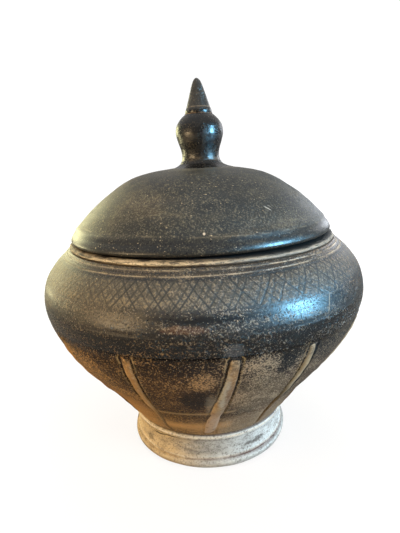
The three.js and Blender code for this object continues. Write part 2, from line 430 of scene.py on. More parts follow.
class Paint:
    """A material being built: the place on the jar in mm, noises, and colours laid over a ground."""

    def __init__(self, name):
        self.material = bpy.data.materials.new(name)
        self.material.use_nodes = True
        self.tree = self.material.node_tree
        self.shader = self.tree.nodes["Principled BSDF"]
        place = self.add("ShaderNodeVectorMath", operation="SCALE")
        place.inputs["Scale"].default_value = 1 / MM
        self.tree.links.new(self.add("ShaderNodeTexCoord").outputs["Object"], place.inputs[0])
        self.place = Socket(self.tree, place.outputs[0])
        split = self.add("ShaderNodeSeparateXYZ")
        self.tree.links.new(place.outputs[0], split.inputs[0])
        x, y, self.z = (Socket(self.tree, output) for output in split.outputs)
        self.bearing = x.math("ARCTAN2", y * -1)
        self.ground = BLACK

    def add(self, kind, **settings):
        node = self.tree.nodes.new(kind)
        for key, value in settings.items():
            setattr(node, key, value)
        return node

    def attribute(self, name):
        return Socket(self.tree, self.add("ShaderNodeAttribute", attribute_name=name).outputs["Fac"])

    def stretched(self, across, up):
        node = self.add("ShaderNodeVectorMath", operation="MULTIPLY")
        self.tree.links.new(self.place.output, node.inputs[0])
        node.inputs[1].default_value = (1 / across, 1 / across, 1 / up)
        return node.outputs[0]

    def noise(self, across, up=None, detail=3, seed=0, roughness=0.55):
        """Smooth noise from 0 to 1 about 0.5, with lumps so many mm across and up."""
        node = self.add("ShaderNodeTexNoise", noise_dimensions="4D")
        self.tree.links.new(self.stretched(across, up or across), node.inputs["Vector"])
        values = {"W": seed * 7.3, "Scale": 1.0, "Detail": detail, "Roughness": roughness}
        for key, value in values.items():
            node.inputs[key].default_value = value
        return Socket(self.tree, node.outputs[0])

    def mix(self, a, b, amount):
        node = self.add("ShaderNodeMix", data_type="RGBA")
        for slot, value in zip((node.inputs[0], node.inputs[6], node.inputs[7]), (amount, a, b)):
            connect(self.tree, slot, value)
        return Socket(self.tree, node.outputs[2])

    def lay(self, colour, amount):
        self.ground = self.mix(self.ground, colour, amount)

    def by_height(self, stops):
        """A colour for each height, from (height, colour) pairs."""
        low_end, high_end = stops[0][0], stops[-1][0]
        node = self.add("ShaderNodeValToRGB")
        ramp = node.color_ramp
        for at, colour in stops[1:-1]:
            ramp.elements.new((at - low_end) / (high_end - low_end)).color = colour
        ramp.elements[0].color = stops[0][1]
        ramp.elements[len(stops) - 1].color = stops[-1][1]
        connect(self.tree, node.inputs[0], (self.z - low_end) * (1 / (high_end - low_end)))
        return Socket(self.tree, node.outputs[0])

    def speckle(self, size, start, end, seed, up=None, detail=1.5):
        """Grains about size mm across: 1 where the noise passes end, 0 before start."""
        return smoothstep(start, end, self.noise(size, up, detail=detail, seed=seed))

    def patch(self, bearing, height, wide, tall, ragged, seed=0):
        """1 at a place in degrees and mm, fading raggedly to 0 over wide degrees and tall mm."""
        off = (self.bearing - math.radians(bearing)) * (1 / math.radians(wide))
        up = (self.z - height) * (1 / tall)
        torn = self.noise(7, 5, detail=6, seed=seed + bearing * 0.1, roughness=0.75) - 0.5
        return smoothstep(1, 0.1, off * off + up * up + torn * (8 * ragged))

    def finish(self, roughness, bump, depth=0.25, specular=0.5):
        """Sends it all to the shader. A height of 1 in the bump stands for depth mm."""
        connect(self.tree, self.shader.inputs["Base Color"], self.ground)
        connect(self.tree, self.shader.inputs["Roughness"], roughness)
        self.shader.inputs["Specular IOR Level"].default_value = specular
        node = self.add("ShaderNodeBump")
        node.inputs["Strength"].default_value = 1.0
        node.inputs["Distance"].default_value = depth * MM
        connect(self.tree, node.inputs["Height"], bump)
        self.tree.links.new(node.outputs[0], self.shader.inputs["Normal"])
        return self.material


BLACK = srgb(17, 16, 16)
SOOT = srgb(30, 28, 26)
BROWN = srgb(60, 42, 27)
SAND = srgb(176, 146, 104)
CREAM = srgb(206, 186, 152)


def sanded(p, seed, density, sand=SAND, strength=0.7, flecks=0.5):
    """Lays grains of sand, few at a density of 0 and close at 1, and gives how far they stand up."""
    fine = p.noise(0.9, detail=2, seed=seed, roughness=0.75)
    clumped = p.noise(5, detail=5, seed=seed + 1, roughness=0.8) - 0.5
    cover = density * 0.18 + clumped * 0.3
    grains = smoothstep(0.56 - cover, 0.78 - cover, fine)
    pits = smoothstep(0.43, 0.33, fine) * strength
    chips = p.speckle(0.9, 0.66, 0.74, seed + 3)
    p.lay(BLACK, pits * 0.55)
    p.lay(sand, grains * strength)
    p.lay(CREAM, chips * flecks)
    return grains + chips - pits


# What the body's clay is like at each height, from the scraped foot end up to the neck.
BODY_COLOURS = [
    (24, srgb(160, 126, 84)), (31, srgb(146, 116, 76)), (38, srgb(118, 93, 62)), (46, srgb(94, 72, 47)),
    (56, srgb(72, 51, 31)), (80, srgb(58, 41, 26)), (91, srgb(30, 22, 15)), (100, srgb(18, 14, 10)),
    (104, srgb(20, 15, 10)), (112, srgb(31, 25, 19)), (117, srgb(34, 31, 27)),
    (119.6, srgb(42, 38, 33)), (121.5, srgb(74, 68, 54)), (130, srgb(76, 70, 56)),
    (131.4, srgb(36, 34, 30)), (133, srgb(50, 43, 33)), (136.5, srgb(58, 49, 37)),
]

# Places on the front with more sand than the rest, or less: bearing in degrees, height, reach in
# degrees, reach in mm, and how much more.
SANDY_PLACES = [
    (-1.4, 84, 5, 8, 0.65), (15.5, 87.5, 7.5, 12, 0.5), (22, 66, 18, 24, 0.3),
    (-34, 119, 22, 7, 0.15), (-17, 123, 13, 2.4, 0.5), (-5.5, 112.6, 9, 2.2, 0.3),
    (-19, 98, 7, 5, 0.35), (-72, 74, 26, 22, 0.5), (-42, 80, 13, 20, 0.45),
    (-9, 93, 12, 9, -0.15), (14, 93, 9, 8, 0.3), (-4, 67, 8, 11, -0.5),
    (23.5, 90, 4, 11, -0.5), (-1.5, 116.6, 13, 2.4, -0.5),
]

# Stains and fire marks on the front: the colour, the place as Paint.patch takes it, and the strength.
STAINS = [
    (srgb(26, 19, 15), (-4, 67, 8, 11, 0.35, 2), 0.85),
    (srgb(20, 19, 19), (23.5, 90, 4.5, 12, 0.3, 3), 0.8),
    (srgb(84, 86, 88), (7.2, 101, 3.6, 5, 0.2, 5), 0.6),
    (BLACK, (-1.5, 116.6, 13, 2.4, 0.25, 6), 0.9),
    (srgb(110, 74, 50), (-5.5, 112.6, 8, 2.2, 0.5, 7), 0.4),
    (srgb(84, 72, 50), (-34, 119, 24, 8, 0.3, 8), 0.35),
    (srgb(120, 78, 36), (-74, 74, 26, 24, 0.3, 10), 0.5),
    (srgb(120, 108, 86), (18, 66, 14, 22, 0.35, 11), 0.45),
    (srgb(158, 114, 62), (-36, 52, 13, 18, 0.35, 12), 0.8),
]


def body_material(name, specular):
    """The body: scraped brown low down, smoked black at the belly, and grey-brown under the hatching."""
    p = Paint(name)
    p.ground = p.by_height(BODY_COLOURS)
    low_down = smoothstep(98, 84, p.z)
    belly = plateau(96, 103, 117, 121, p.z)
    band = plateau(119.5, 121.5, 130.5, 131.5, p.z)
    mottle = p.noise(24, 17, detail=6, seed=1, roughness=0.62)
    light_mottle = smoothstep(0.49, 0.66, mottle)
    p.lay(srgb(34, 25, 18), smoothstep(0.5, 0.36, mottle) * (low_down * 0.8 + 0.2))
    streaks = p.noise(38, 2.2, detail=5, seed=3)
    p.lay(BLACK, smoothstep(0.48, 0.6, streaks) * (belly * 0.75 + 0.1))
    under = plateau(95, 99, 107, 112, p.z)
    density = 0.26 + low_down * 0.16 + smoothstep(52, 40, p.z) * 0.15 + band * 0.25
    density = density + light_mottle * (0.25 + low_down * 0.4) - under * 0.12
    density = density - smoothstep(0.5, 0.6, streaks) * belly * 0.3
    density = front_marks(p, density)
    side = plateau(-0.3, 0.35, 1.6, 2.4, p.bearing)
    warm = p.mix(srgb(140, 122, 90), srgb(162, 122, 74), smoothstep(112, 100, p.z))
    sand = p.mix(warm, srgb(164, 150, 126), side)
    sand = p.mix(sand, srgb(190, 148, 94), (1 - side) * smoothstep(100, 90, p.z) * 0.7)
    upper_right = side * smoothstep(0.6, 1.0, p.bearing) * smoothstep(112, 118, p.z)
    sand = p.mix(sand, srgb(186, 152, 112), upper_right)
    grain = sanded(p, 10, density, sand, 1 - band * 0.3, 0.65)
    drawn = smoothstep(0.4, 0.58, p.noise(16, 3, detail=3, seed=4))
    for mark in DARK_LINES:
        dark = ring_line(p.bearing, p.z, mark) * (0.25 + 1.2 * mark[2])
        p.lay(BLACK, dark * (drawn * 0.6 + 0.5))
    scored = hatching(p.bearing, p.z)
    p.lay(srgb(24, 24, 23), scored * 0.9)
    worn = smoothstep(0.4, 0.56, p.noise(4, 3, detail=6, seed=5, roughness=0.75))
    rubbed = smoothstep(0.3, 0.6, p.noise(22, 4, detail=3, seed=6)) * (side * 0.5 + 0.5)
    for mark in PALE_LINES:
        amount = ring_line(p.bearing, p.z, mark) * (worn * 0.75 + 0.1) * rubbed * min(1, 3 * mark[2])
        p.lay(CREAM, amount)
    beside_ribs(p, worn)
    p.ground = p.mix(srgb(40, 34, 28), p.ground, p.attribute("worked"))
    polish = smoothstep(93, 97.5, p.z) * (0.16 + 0.11 * smoothstep(121, 117, p.z))
    polish = polish + under * 0.07 + smoothstep(132, 134, p.z) * 0.06
    roughness = 0.57 - polish + grain * 0.14 + streaks * 0.06
    bump = grain * 0.6 + streaks * 0.3 - scored * 0.15
    return p.finish(roughness, bump, specular=specular)


def front_marks(p, density):
    """Stains, rubbed places and fire marks that are seen on the front, painted warm light low on the
    left, and a painted highlight and shadow for a ledge low on the front. A rubbed place shows more sand.
    """
    for bearing, height, wide, tall, more in SANDY_PLACES:
        density = density + p.patch(bearing, height, wide, tall, 0.35, 1) * more
    for colour, place, amount in STAINS:
        p.lay(colour, p.patch(*place) * amount)
    # Tan clay low on the left, partly painted warm lamp light.
    tan_and_warm_light = plateau(-2.4, -1.8, -0.8, -0.42, p.bearing) * smoothstep(66, 42, p.z)
    p.lay(srgb(184, 134, 72), tan_and_warm_light * 0.7)
    p.lay(srgb(150, 142, 126), p.patch(1.2, 62, 3.4, 13, 0.3, 13) * 0.55)
    low_right = smoothstep(50, 38, p.z) * smoothstep(0.05, 0.2, p.bearing)
    p.lay(srgb(134, 120, 98), low_right * 0.6)
    between = smoothstep(0.36, 0.29, absolute(p.bearing + 0.13))
    # A painted highlight along the lip of a ledge low on the front, and a painted shadow under it.
    p.lay(srgb(158, 132, 92), line(p.z - 52.2 - 4 * p.bearing, 2.2) * between * 0.85)
    p.lay(srgb(62, 44, 26), line(p.z - 47.2 - 4 * p.bearing, 3.6) * between * 0.9)
    p.lay(srgb(200, 156, 98), line(p.z - 36 - 3 * p.bearing, 6) * between * 0.85)
    p.lay(srgb(58, 42, 28), line(p.z - 27.4, 0.5) * 0.7)
    p.lay(srgb(70, 52, 34), line(p.z - 24.8, 0.7) * 0.8)
    scratch = line(p.bearing - 0.64 - 0.004 * (p.z - 115), 0.006) * plateau(109, 112, 117, 120, p.z)
    p.lay(CREAM, scratch * 0.5)
    return density


def beside_ribs(p, worn):
    """Along each rib, the black groove that the tool left and the thin pale burr outside it, with a
    painted shadow down the right side of the right-hand rib.
    """
    away = p.attribute("rib_distance") + (p.noise(2.2, detail=5, seed=8, roughness=0.75) - 0.5) * 3.6
    pressed = smoothstep(62, 82, p.z)
    scuffed = plateau(0.42, 0.47, 0.53, 0.545, p.bearing)
    p.lay(srgb(172, 148, 106), line(away - 1.6, 0.7) * (pressed * 0.6 + 0.1) * worn)
    broken = smoothstep(0.38, 0.5, p.noise(7, 9, detail=3, seed=9)) * 0.8 + 0.2
    groove = line(away - 0.35, 0.9) * (pressed * 0.9 + 0.06) * (1 - scuffed * 0.6) * broken
    # Painted shadow: black laid beside the right side of the right-hand rib.
    painted_rib_shadow = plateau(0.42, 0.5, 1.1, 1.5, p.bearing) * smoothstep(44, 58, p.z)
    painted_rib_shadow = painted_rib_shadow * smoothstep(0.3, 0.8, p.attribute("rib_side"))
    # From here groove holds both the tool's groove and the painted shadow.
    groove = larger(groove, line(away - 1.0, 2.0) * painted_rib_shadow)
    p.lay(BLACK, groove)


def rib_material():
    """Bare pale clay where the strip was rubbed, smoked at its top and dulled towards the foot, with
    painted shade and shadow down the right-hand rib and a painted highlight along the crest of the ribs
    on the left, low down.
    """
    p = Paint("rib_clay")
    tone = p.noise(9, 7, detail=6, seed=4, roughness=0.7)
    p.ground = p.mix(srgb(140, 108, 70), srgb(172, 148, 112), smoothstep(0.4, 0.62, tone))
    p.lay(srgb(166, 124, 72), smoothstep(-0.25, -0.32, p.bearing) * 0.8)
    p.lay(srgb(160, 152, 128), smoothstep(0.42, 0.5, p.bearing) * 0.8)
    p.lay(srgb(172, 168, 154), p.patch(5.0, 74, 2.6, 22, 0.25, 1) * 0.9)
    p.lay(srgb(122, 90, 56), p.patch(7.2, 66, 2.2, 20, 0.4, 2) * 0.8)
    # Painted shade: the lower part of the right-hand rib laid darker.
    low_right = smoothstep(0.42, 0.5, p.bearing) * smoothstep(76, 54, p.z)
    p.lay(srgb(70, 58, 40), low_right * 0.75)
    dulled = smoothstep(60, 46, p.z)
    p.lay(srgb(108, 82, 50), dulled * 0.8)
    # Painted highlight: a pale line along the crest of the ribs on the left, low down.
    crown = smoothstep(0.86, 0.99, p.attribute("crest")) * smoothstep(74, 56, p.z)
    p.lay(srgb(188, 150, 98), crown * smoothstep(0.2, -0.2, p.bearing) * 0.45)
    middle = smoothstep(0.2, 0.12, absolute(p.bearing))
    p.lay(srgb(184, 160, 136), dulled * middle * 0.85)
    blotches = smoothstep(0.54, 0.68, p.noise(4, 3, detail=6, seed=7, roughness=0.7))
    p.lay(BROWN, blotches * 0.6)
    smoke = smoothstep(86, 98, p.z) * smoothstep(0.42, 0.56, p.noise(3, detail=5, seed=9, roughness=0.7))
    p.lay(SOOT, smoke * 0.85)
    chips_and_shadow = p.attribute("crest") + (p.noise(1.8, detail=4, seed=6, roughness=0.7) - 0.5) * 1.5
    # Besides real chips along the edges, the right half of the right-hand rib is laid black: painted
    # shadow.
    right = plateau(0.42, 0.5, 1.5, 2, p.bearing)
    chips_and_shadow = chips_and_shadow + right * (0.15 - 1.5 * smoothstep(0.1, 0.5, p.attribute("side")))
    pressed = larger(smoothstep(62, 82, p.z) * 0.8 + 0.04, right * smoothstep(44, 60, p.z) * 0.85)
    p.lay(BLACK, smoothstep(0.34, 0.1, chips_and_shadow) * pressed)
    grain = sanded(p, 20, 0.2, srgb(206, 186, 150), 0.5, 0.3)
    return p.finish(0.75, grain * 0.4 + tone * 0.5, specular=0.25)


def foot_material():
    """Unsmoked clay, pale and chalky, with soot rubbed into its waist and its tooled line. Painted light
    is laid on it too: warm lamp light on the left, window light on the right, shade in the waist's hollow
    and at its top where the bowl sits, and highlights along its bead and above its tooled line.
    """
    p = Paint("foot_clay")
    tone = p.noise(16, 7, detail=6, seed=1, roughness=0.65)
    p.ground = p.mix(srgb(158, 154, 145), srgb(188, 185, 176), smoothstep(0.38, 0.62, tone))
    left = plateau(-2.6, -1.8, -0.6, -0.1, p.bearing)
    right = plateau(-0.3, 0.7, 1.8, 2.6, p.bearing)
    tan = smoothstep(0.46, 0.6, p.noise(20, 7, detail=5, seed=2))
    # Tan clay on the left, partly painted warm lamp light.
    p.lay(srgb(206, 176, 124), tan * 0.14 * (1 - right) + left * 0.7)
    # Painted window light: the right side laid near white with a blue cast.
    p.lay(srgb(224, 236, 240), right * 0.9 * smoothstep(2.0, 1.1, p.bearing))
    waist = plateau(6.5, 10, 16, 20, p.z)
    smudged = smoothstep(0.44, 0.6, p.noise(9, 4, detail=6, seed=3, roughness=0.7))
    # Soot smudges, and painted shade evenly round the waist's hollow, less of it on the lit sides.
    grey = waist * (smudged * 0.4 + 0.1) * (1 - left * 0.5 - right * 0.5)
    p.lay(srgb(112, 108, 102), grey)
    p.lay(srgb(120, 108, 88), smoothstep(3.8, 2.6, p.z) * 0.5)
    smoke = smoothstep(0.52, 0.64, p.noise(7, 3, detail=6, seed=4, roughness=0.7))
    p.lay(srgb(92, 86, 78), smoke * (0.38 - right * 0.2))
    p.lay(srgb(80, 72, 62), p.patch(33, 11.6, 10, 2.6, 0.45, 6) * 0.8)
    p.lay(srgb(96, 82, 58), p.patch(-50, 10, 5, 3, 0.4, 7) * 0.7)
    dirt = smoothstep(0.36, 0.56, p.noise(6, 3, detail=5, seed=8, roughness=0.7))
    # Painted highlight: a cream line along the ridge above the tooled line.
    p.lay(srgb(206, 198, 178), line(p.z - 6.4 - 0.2 * sin(p.bearing * 2), 0.8) * 0.5)
    tooled = line(p.z - 5.1 - 0.2 * sin(p.bearing * 2 + 1), 1.9)
    p.lay(srgb(96, 56, 26), tooled * (dirt * 0.4 + 0.1 + right * 0.7))
    # Painted highlight along the top of the bead.
    p.lay(srgb(226, 218, 200), line(p.z - 21.6, 1.3) * (0.5 + 0.4 * (1 - dirt)))
    p.lay(srgb(100, 84, 62), line(p.z - 19.6, 0.6) * dirt * 0.7)
    # Painted shade at the top of the foot, where the bowl sits in it.
    p.lay(srgb(84, 62, 42), smoothstep(22.6, 23.2, p.z) * 0.8)
    p.lay(srgb(34, 26, 20), foot_crack(p.bearing, p.z) * 0.95)
    fine = p.noise(1.2, detail=3, seed=30, roughness=0.8)
    stained = dirt * 0.05 + smudged * 0.04
    pits = smoothstep(0.44 + stained, 0.34 + stained, fine)
    p.lay(srgb(78, 68, 56), pits * 0.6)
    p.lay(srgb(226, 222, 210), smoothstep(0.6, 0.7, fine) * 0.45)
    p.ground = p.mix(srgb(132, 118, 96), p.ground, p.attribute("worked"))
    return p.finish(0.8, tone * 0.4 - pits * 0.5, specular=0.3)


def foot_groove(bearing, height):
    """The tooled line above the foot's lip."""
    return line(height - 4.9 - 0.2 * sin(bearing * 2 + 1), 1.0)


def foot_crack(bearing, height):
    """A short drying crack under the bead, front left."""
    near = smoothstep(0.2, 0.13, absolute(bearing + 0.6))
    return line(height - 18.2 - 9 * (bearing + 0.6) - 0.25 * sin(31 * bearing), 0.9) * near


def collar_material():
    """The neck ring: pale where the lid has rubbed it, with soot left in streaks below its edge, and a
    painted shadow under the lid along its top.
    """
    p = Paint("collar_clay")
    worn = smoothstep(0.42, 0.56, p.noise(9, 1.4, detail=6, seed=2, roughness=0.75))
    shade = plateau(-2.6, -1.8, -1.15, -0.5, p.bearing)
    p.ground = p.mix(srgb(74, 63, 48), srgb(182, 160, 126), worn)
    edge = line(p.z - 137.3 - 0.2 * sin(p.bearing * 3), 0.7) * worn * (1 - shade * 0.4)
    p.lay(srgb(96, 82, 60), shade * 0.6)
    p.lay(srgb(206, 188, 152), edge)
    rubbed = line(p.z - 137.2, 0.6) * plateau(-0.9, -0.5, -0.3, 0.0, p.bearing)
    p.lay(srgb(216, 196, 160), rubbed * (worn * 0.5 + 0.4))
    cool = plateau(-0.1, 0.4, 1.4, 2.0, p.bearing)
    p.lay(srgb(150, 150, 142), cool * 0.7)
    p.lay(srgb(64, 52, 38), smoothstep(137.0, 136.2, p.z) * (shade * 0.4 + 0.5))
    # Painted shadow under the lid's edge along the top of the ring, deeper on the right, left out at the
    # front left where the ring is rubbed bare.
    bare = plateau(-1.25, -0.95, -0.3, 0.0, p.bearing)
    p.lay(SOOT, smoothstep(137.7, 138.3, p.z) * (cool * 0.5 + 0.4) * (1 - bare))
    streaks = smoothstep(0.52, 0.62, p.noise(6, 0.9, detail=5, seed=3, roughness=0.7))
    p.lay(SOOT, streaks * 0.75)
    pits = p.speckle(0.9, 0.44, 0.34, 40, detail=3)
    p.lay(srgb(50, 42, 34), pits * 0.7)
    p.ground = p.mix(SOOT, p.ground, smoothstep(77, 80, p.attribute("radius")))
    return p.finish(0.6, worn * 0.3 - pits * 0.4, specular=0.35)


def lid_material():
    """Smoked and burnished clay: olive-grey over most of the dome, bluer where the fire was starved."""
    p = Paint("lid_clay")
    rise = p.z - LID_SEAT
    cloud = p.noise(34, 20, detail=6, seed=20, roughness=0.62)
    p.ground = p.mix(srgb(46, 42, 32), srgb(31, 30, 25), smoothstep(0.56, 0.44, cloud))
    p.lay(srgb(74, 63, 46), smoothstep(0.54, 0.66, cloud) * 0.7)
    p.lay(srgb(36, 39, 40), p.patch(3, LID_SEAT + 18, 26, 15, 0.4, 21) * 0.6)
    below = rise + (p.noise(12, 4, detail=4, seed=22) - 0.5) * 3
    p.lay(srgb(26, 28, 30), smoothstep(8.6, 6.8, below) * 0.85)
    p.lay(srgb(92, 88, 76), smoothstep(37.8, 39.6, rise) * 0.7)
    streaks = p.noise(18, 3.5, detail=6, seed=23, roughness=0.65)
    p.lay(BLACK, smoothstep(0.52, 0.66, streaks) * 0.3)
    p.lay(srgb(92, 86, 66), smoothstep(0.47, 0.34, streaks) * 0.2)
    rim = smoothstep(9.5, 7.5, rise)
    density = 0.42 + smoothstep(0.48, 0.65, cloud) * 0.35 - rim * 0.3
    grain = sanded(p, 24, density, srgb(122, 115, 92), 0.62, 0.0)
    flecks = p.speckle(1.1, 0.67, 0.75, 28, up=0.8)
    p.lay(srgb(190, 172, 138), flecks * 0.75)
    worn = smoothstep(0.44, 0.56, p.noise(7, 4, detail=4, seed=29))
    tipped = 8.2 + 1.6 * smoothstep(0.5, -0.6, p.bearing)
    edge = line(rise - tipped - (cloud - 0.5) * 2, 0.6)
    p.lay(srgb(128, 118, 96), edge * worn * 0.4)
    dashes = smoothstep(0.35, 0.75, sin((p.z * 0.9 + p.bearing * 52) * 2.6))
    dashes = dashes * p.patch(30.6, LID_SEAT + 18.6, 2.6, 1.6, 0.15)
    p.lay(srgb(180, 180, 172), dashes * 0.75)
    p.lay(srgb(220, 206, 184), p.patch(1.2, LID_SEAT + 10.1, 0.6, 0.7, 0.05) * 0.8)
    ring = line(p.attribute("knob_distance") - 15.4, 1.5)
    p.lay(srgb(150, 132, 100), ring * (worn * 0.6 + 0.2))
    for at in (17.4, 20.2, 24.0):
        p.lay(BLACK, line(p.attribute("knob_distance") - at, 0.55) * 0.6)
    p.ground = p.mix(SOOT, p.ground, p.attribute("worked"))
    roughness = 0.42 + streaks * 0.1 - rim * 0.13 + grain * 0.12
    bump = grain * (0.45 - rim * 0.25) + streaks * 0.2 + flecks * 0.4
    return p.finish(roughness, bump, 0.2, specular=0.45)


def knob_material():
    p = Paint("knob_clay")
    base = LID_SEAT + LID_RISE
    rubbed = smoothstep(0.5, 0.66, p.noise(7, 5, detail=5, seed=40))
    p.ground = p.mix(srgb(16, 16, 16), srgb(46, 42, 36), rubbed * 0.5)
    p.lay(srgb(56, 56, 54), smoothstep(base + 32, base + 34, p.z) * 0.7)
    p.lay(srgb(96, 84, 64), line(p.z - base - 4.4, 2.2) * (rubbed * 0.5 + 0.15))
    for at in (0.5, 2.2):
        p.lay(BLACK, line(p.z - base - at, 0.45) * 0.7)
    grain = sanded(p, 41, 0.1, srgb(96, 86, 68), 0.6, 0.15)
    worn = smoothstep(0.38, 0.54, p.noise(4, 2, detail=4, seed=45))
    above = p.z - base - BULB_HEIGHT
    p.lay(srgb(150, 128, 106), line(above + 0.3, 0.4) * (worn * 0.6 + 0.1))
    p.lay(srgb(150, 136, 116), line(above - 3.4, 0.4) * worn * 0.6)
    return p.finish(0.24 + grain * 0.1 + rubbed * 0.12, grain * 0.4, 0.2, specular=0.45)


def plain_material():
    p = Paint("plain_clay")
    tone = p.noise(18, 3, detail=4, seed=50)
    p.ground = p.mix(srgb(44, 39, 33), srgb(30, 28, 26), smoothstep(0.35, 0.65, tone))
    grain = sanded(p, 51, 0.2)
    return p.finish(0.78, grain * 0.4 + tone * 0.8, specular=0.3)


# --- Pieces -----------------------------------------------------------------------------------------

def make_foot():
    rows = outline(
        ([(46.5, 0), (52.0, 0)], 2.0, 0.0),
        ([(52.0, 0), (53.5, 0.7), (FOOT_RADIUS, 2.0), (53.5, 3.5), (52.2, 4.2)], 0.45, 1.0),
        ([(52.2, 4.2), (51.7, 4.6), (52.2, 5.1)], 0.3, 1.0),
        ([(52.2, 5.1), (52.3, 5.7), (51.7, 7.4), (51.3, 11), (51.4, 14.5), (52.0, 18)], 0.6, 1.0),
        ([(52.0, 18), (52.8, 19.8), (53.3, 21.4), (53.0, 22.8), (52.2, 23.5), (51.2, FOOT_TOP)],
         0.45, 1.0),
        ([(51.2, FOOT_TOP), (46, BOWL_UNDERSIDE + 3.2)], 2.0, 0.0),
        ([(46, BOWL_UNDERSIDE + 3.2), (FOOT_BORE, BOWL_UNDERSIDE + 2), (FOOT_BORE, 1.2), (46.5, 0)],
         1.5, 0.0),
    )

    def relief(bearing, height):
        uneven = 0.3 * waves(31, bearing, height, 4, 40) + 0.1 * waves(32, bearing, height, 14, 7)
        marks = 0.3 * foot_groove(bearing, height) + 0.5 * foot_crack(bearing, height)
        return uneven + 0.04 * waves(33, bearing, height, 2, 1.6) - 0.3 - marks

    shape, worked = turned(rows, 720, relief)
    material = foot_material()
    new_piece("foot_ring_clay", shape, "pot", "foot_ring", material, {"worked": worked})


def make_bowl():
    floor = [(36, BOWL_FLOOR + 1.2), (20, BOWL_FLOOR + 0.3), (0, BOWL_FLOOR)]
    inside = body_stretch(BOWL_FLOOR + 5, BELLY_SEAM, WALL)[::-1]
    rows = outline(
        ([(0, BOWL_UNDERSIDE), (FOOT_BORE - 1, BOWL_UNDERSIDE + 2.8), (51.0, 23.2)], 6, 0.0),
        ([(51.0, 23.2), (52.0, 23.6), (52.8, 24.6)], 0.6, 0.5),
        (body_stretch(24.6, BELLY_SEAM), 0.9, 1.0),
        (inside, 7, 0.0),
        ([inside[-1], *floor], 7, 0.0),
    )
    shape, worked = turned(rows, 750, bowl_relief)
    x, y, z = shape[0].T
    distance, side = distance_to_ribs(np.arctan2(x, -y), z)
    attributes = {"worked": worked, "rib_distance": distance, "rib_side": side}
    material = body_material("bowl_clay", 0.22)
    new_piece("bowl_clay", shape, "pot", "lower_bowl", material, attributes)


def make_shoulder():
    inside = body_stretch(BELLY_SEAM, SHOULDER_TOP - 2 * WALL, WALL)[::-1]
    rows = outline(
        (body_stretch(BELLY_SEAM, HATCH_LOW - 2), 0.8, 1.0),
        (body_stretch(HATCH_LOW - 2, SHOULDER_TOP), 0.42, 1.0),
        ([(body_radius(SHOULDER_TOP), SHOULDER_TOP), (MOUTH_RADIUS + 0.6, SHOULDER_TOP)], 6, 0.0),
        ([(MOUTH_RADIUS + 0.6, SHOULDER_TOP), (MOUTH_RADIUS + 0.4, SHOULDER_TOP - 4.5)], 3, 0.0),
        ([(MOUTH_RADIUS + 0.4, SHOULDER_TOP - 4.5), (76, SHOULDER_TOP - 7.5), inside[0]], 3, 0.0),
        (inside, 5, 0.0),
    )
    shape, worked = turned(rows, 990, body_relief)
    attributes = {"worked": worked, "rib_distance": np.full(len(worked), FAR_FROM_RIBS)}
    material = body_material("shoulder_clay", 0.5)
    new_piece("shoulder_clay", shape, "pot", "shoulder", material, attributes)


def make_collar():
    base = SHOULDER_TOP - 0.2
    rows = outline(
        ([(81.0, base), (82.1, base + 0.6), (NECK_RADIUS, base + 1.4), (81.9, base + 2.4),
          (80.6, NECK_TOP)], 0.35, 1.0),
        ([(80.6, NECK_TOP), (72.0, NECK_TOP)], 2.0, 0.3),
        ([(72.0, NECK_TOP), (70.9, NECK_TOP - 0.5), (MOUTH_RADIUS, NECK_TOP - 1.4), (MOUTH_RADIUS, base)],
         0.6, 0.3),
        ([(MOUTH_RADIUS, base), (81.0, base)], 3.0, 0.0),
    )

    def relief(bearing, height):
        return 0.12 * waves(41, bearing, height, 6, 30) + 0.08 * waves(42, bearing, height, 60, 3) - 0.15

    shape, worked = turned(rows, 900, relief)
    attributes = {"worked": worked, "radius": np.hypot(shape[0][:, 0], shape[0][:, 1])}
    material = collar_material()
    new_piece("collar_clay", shape, "pot", "neck_collar", material, attributes)


def make_rib(node, material):
    """A strip of clay pressed on to the bowl: crowned, lumpy, and drawn out thin at both ends."""
    path = RIB_PATHS[node]
    along, across = 96, 16
    down = np.linspace(0, 1, along)[:, None]
    side = np.linspace(-1, 1, across)[None, :]
    top, foot = path.high - 0.6, path.low + 0.6
    height = top + (foot - top) * down
    seed = 60 + RIB_NODES.index(node)
    crown = 1 - np.abs(side) ** 3.2
    ends = np.sqrt(np.clip(1 - (2 * down - 1) ** 10, 0, 1))
    rise = (1.0 + 0.22 * waves(seed, side * 0.8, height, 2, 14)) * crown * ends
    width = path.half_width(height) * (1 + 0.07 * waves(seed + 40, 0, height, 1, 16))
    bearing = path.bearing(height) + side * width * (0.7 + 0.3 * ends) / body_radius(height)
    slope = body_radius(height + 0.5) - body_radius(height - 0.5)
    nr, nz = 1 / np.hypot(1, slope), -slope / np.hypot(1, slope)

    def surface(lift):
        radius = body_radius(height) + nr * lift
        spread = [radius * np.sin(bearing), -radius * np.cos(bearing), height + nz * lift + 0 * bearing]
        return np.stack(spread, -1).reshape(-1, 3)

    below = along * across
    number = np.arange(below).reshape(along, across)
    a, b, c, d = number[:-1, :-1], number[1:, :-1], number[1:, 1:], number[:-1, 1:]
    rim = np.concatenate([number[:, 0], number[-1, 1:], number[-2::-1, -1], number[0, -2:0:-1]])
    rim_next = np.roll(rim, -1)
    quads = np.vstack([
        np.stack([a, b, c, d], -1).reshape(-1, 4),
        np.stack([a, d, c, b], -1).reshape(-1, 4) + below,
        np.column_stack([rim_next, rim, rim + below, rim_next + below]),
    ])
    points = np.vstack([surface(rise - 0.2), surface(-1.3 + 0 * rise)])
    crest = np.concatenate([(crown + 0 * down).ravel(), np.zeros(below)])
    across_it = np.concatenate([(side + 0 * down).ravel()] * 2)
    shape = (points, quads, np.empty((0, 3), int))
    attributes = {"crest": crest, "side": across_it}
    new_piece(node + "_clay", shape, "pot", node, material, attributes)


